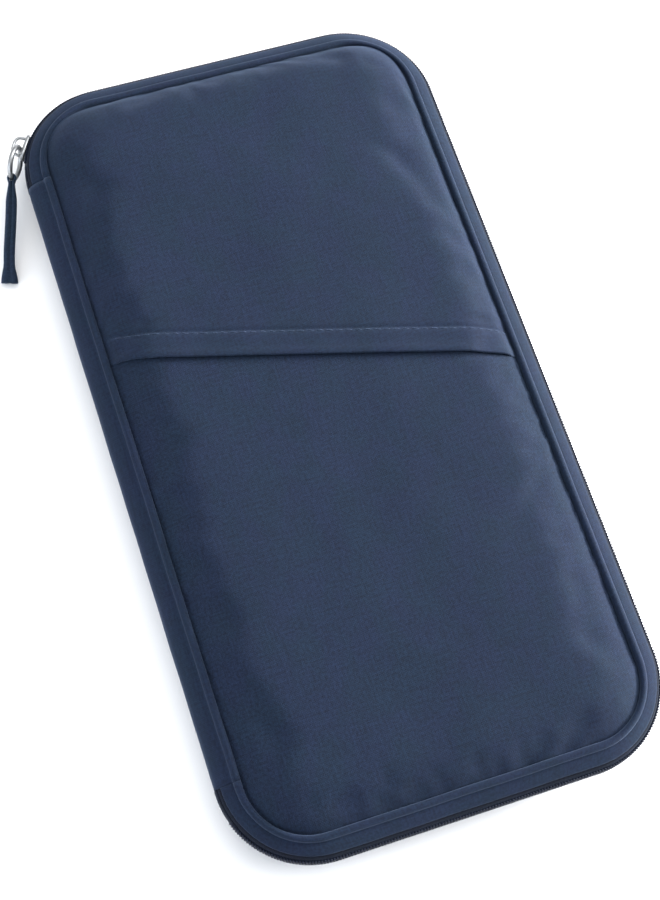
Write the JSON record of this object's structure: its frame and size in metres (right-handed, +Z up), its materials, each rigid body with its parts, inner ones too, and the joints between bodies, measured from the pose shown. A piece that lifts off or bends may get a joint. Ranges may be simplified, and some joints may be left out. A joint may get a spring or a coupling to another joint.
{
  "type": "passport holder",
  "caption": "Zip-around padded fabric travel document holder with a slanted outer slip pocket, inner card, passport, ticket and coin pockets, and a pull ring.",
  "frame": {"origin": "middle of the back cover's flat outer face, which the closed holder rests on", "axes": "+Z up through the thickness, +Y along the long side towards the zip's closed end, spine on -X"},
  "size_m": [0.1457, 0.2436, 0.022],
  "materials": {
    "shell_fabric": "fine navy woven cloth",
    "lining_fabric": "plain woven lining",
    "foam": "soft foam",
    "board": "matt board",
    "zip_tape": "woven tape",
    "zip_coil": "nylon coil",
    "binding": "bias tape",
    "elastic": "ribbed elastic",
    "metal": "bright nickel plating"
  },
  "bodies": {
    "back_cover": {"back_face_panel": "shell_fabric", "back_foam_pad": "foam", "back_stiffener_board": "board", "back_lining": "lining_fabric", "back_gusset": "shell_fabric", "back_zip_tape": "zip_tape", "back_zip_coil": "zip_coil", "back_seam_binding": "binding", "spine_panel": "shell_fabric", "spine_lining": "lining_fabric", "ticket_pocket": "lining_fabric", "coin_pocket_panel": "lining_fabric", "coin_pocket_top_strip": "lining_fabric", "coin_zip_tape_lower": "zip_tape", "coin_zip_tape_upper": "zip_tape", "coin_zip_coil_lower": "zip_coil", "coin_zip_coil_upper": "zip_coil", "pen_loop": "elastic", "zip_top_stop_back": "metal", "zip_bottom_stop": "metal"},
    "front_cover": {"front_face_panel": "shell_fabric", "slip_pocket_panel": "shell_fabric", "front_foam_pad": "foam", "front_stiffener_board": "board", "front_lining": "lining_fabric", "front_gusset": "shell_fabric", "front_zip_tape": "zip_tape", "front_zip_coil": "zip_coil", "front_seam_binding": "binding", "card_slot_1": "lining_fabric", "card_slot_2": "lining_fabric", "card_slot_3": "lining_fabric", "card_slot_4": "lining_fabric", "passport_pocket": "lining_fabric", "zip_top_stop_front": "metal"},
    "zip_slider": {"edge_zip_slider": "metal"},
    "ring": {"pull_ring": "metal"},
    "pull": {"fabric_pull": "shell_fabric"},
    "coin_slider": {"coin_zip_slider": "metal"},
    "coin_pull": {"coin_zip_pull": "metal"}
  },
  "joints": [
    {"name": "cover_open", "type": "hinge", "parent": "back_cover", "child": "front_cover", "pos_m": [-0.065, 0, 0.011], "axis": [0, -1, 0], "range_deg": [0, 180], "deforming": ["spine_panel", "spine_lining"]},
    {"name": "zip_travel", "type": "hinge", "parent": "back_cover", "child": "zip_slider", "pos_m": [-0.038, 0.095, 0.011], "axis": [0, 0, -1], "range_deg": [0, 54]},
    {"name": "ring_swing", "type": "hinge", "parent": "zip_slider", "child": "ring", "pos_m": [-0.06363, 0.11001, 0.0107], "axis": [0.1917, 0.087, -0.9776], "range_deg": [0, 40]},
    {"name": "pull_swing", "type": "hinge", "parent": "ring", "child": "pull", "pos_m": [-0.06835, 0.10159, 0.00903], "axis": [0, 0, -1], "range_deg": [-12, 60]},
    {"name": "coin_zip_travel", "type": "slide", "parent": "back_cover", "child": "coin_slider", "axis": [-1, 0, 0], "range_m": [0, 0.078]},
    {"name": "coin_pull_turn", "type": "hinge", "parent": "coin_slider", "child": "coin_pull", "pos_m": [0.04, -0.0254, 0.011], "axis": [0, 0, 1], "range_deg": [-60, 60]}
  ],
  "couplings": [
    {"joint": "zip_travel", "follows": "cover_open", "ratio": 0.3},
    {"joint": "ring_swing", "follows": "cover_open", "ratio": 0.2222}
  ]
}
